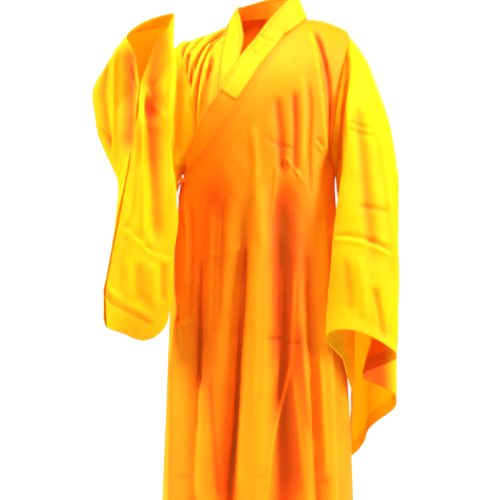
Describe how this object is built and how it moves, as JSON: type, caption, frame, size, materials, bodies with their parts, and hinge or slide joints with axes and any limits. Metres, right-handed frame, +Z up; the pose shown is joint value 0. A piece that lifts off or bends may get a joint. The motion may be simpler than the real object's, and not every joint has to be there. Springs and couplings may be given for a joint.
{
  "type": "monk robe",
  "caption": "Worn Buddhist monk robe: crossed front tied at the side, very wide sleeves, one arm raised and one hanging.",
  "frame": {"origin": "middle of the neck's base, on the line of the shoulders, where the wearer holds the robe up", "axes": "+Z up along the standing wearer; the robe faces -Y and the wearer's right side is at -X"},
  "size_m": [0.7924, 0.5347, 1.4593],
  "materials": {
    "saffron": "thin plain weave, soft sheen",
    "saffron_inner": "thin plain weave, soft sheen",
    "saffron_band": "plain weave in layers, stitched"
  },
  "bodies": {
    "root": {"back_panel": "saffron", "front_outer": "saffron", "front_inner": "saffron_inner", "sleeve_right": "saffron", "sleeve_left": "saffron", "collar_band": "saffron_band", "collar_guard": "saffron_band", "tie_knot": "saffron_band", "tie_tape_front": "saffron_band", "tie_tape_back": "saffron_band"}
  },
  "joints": []
}
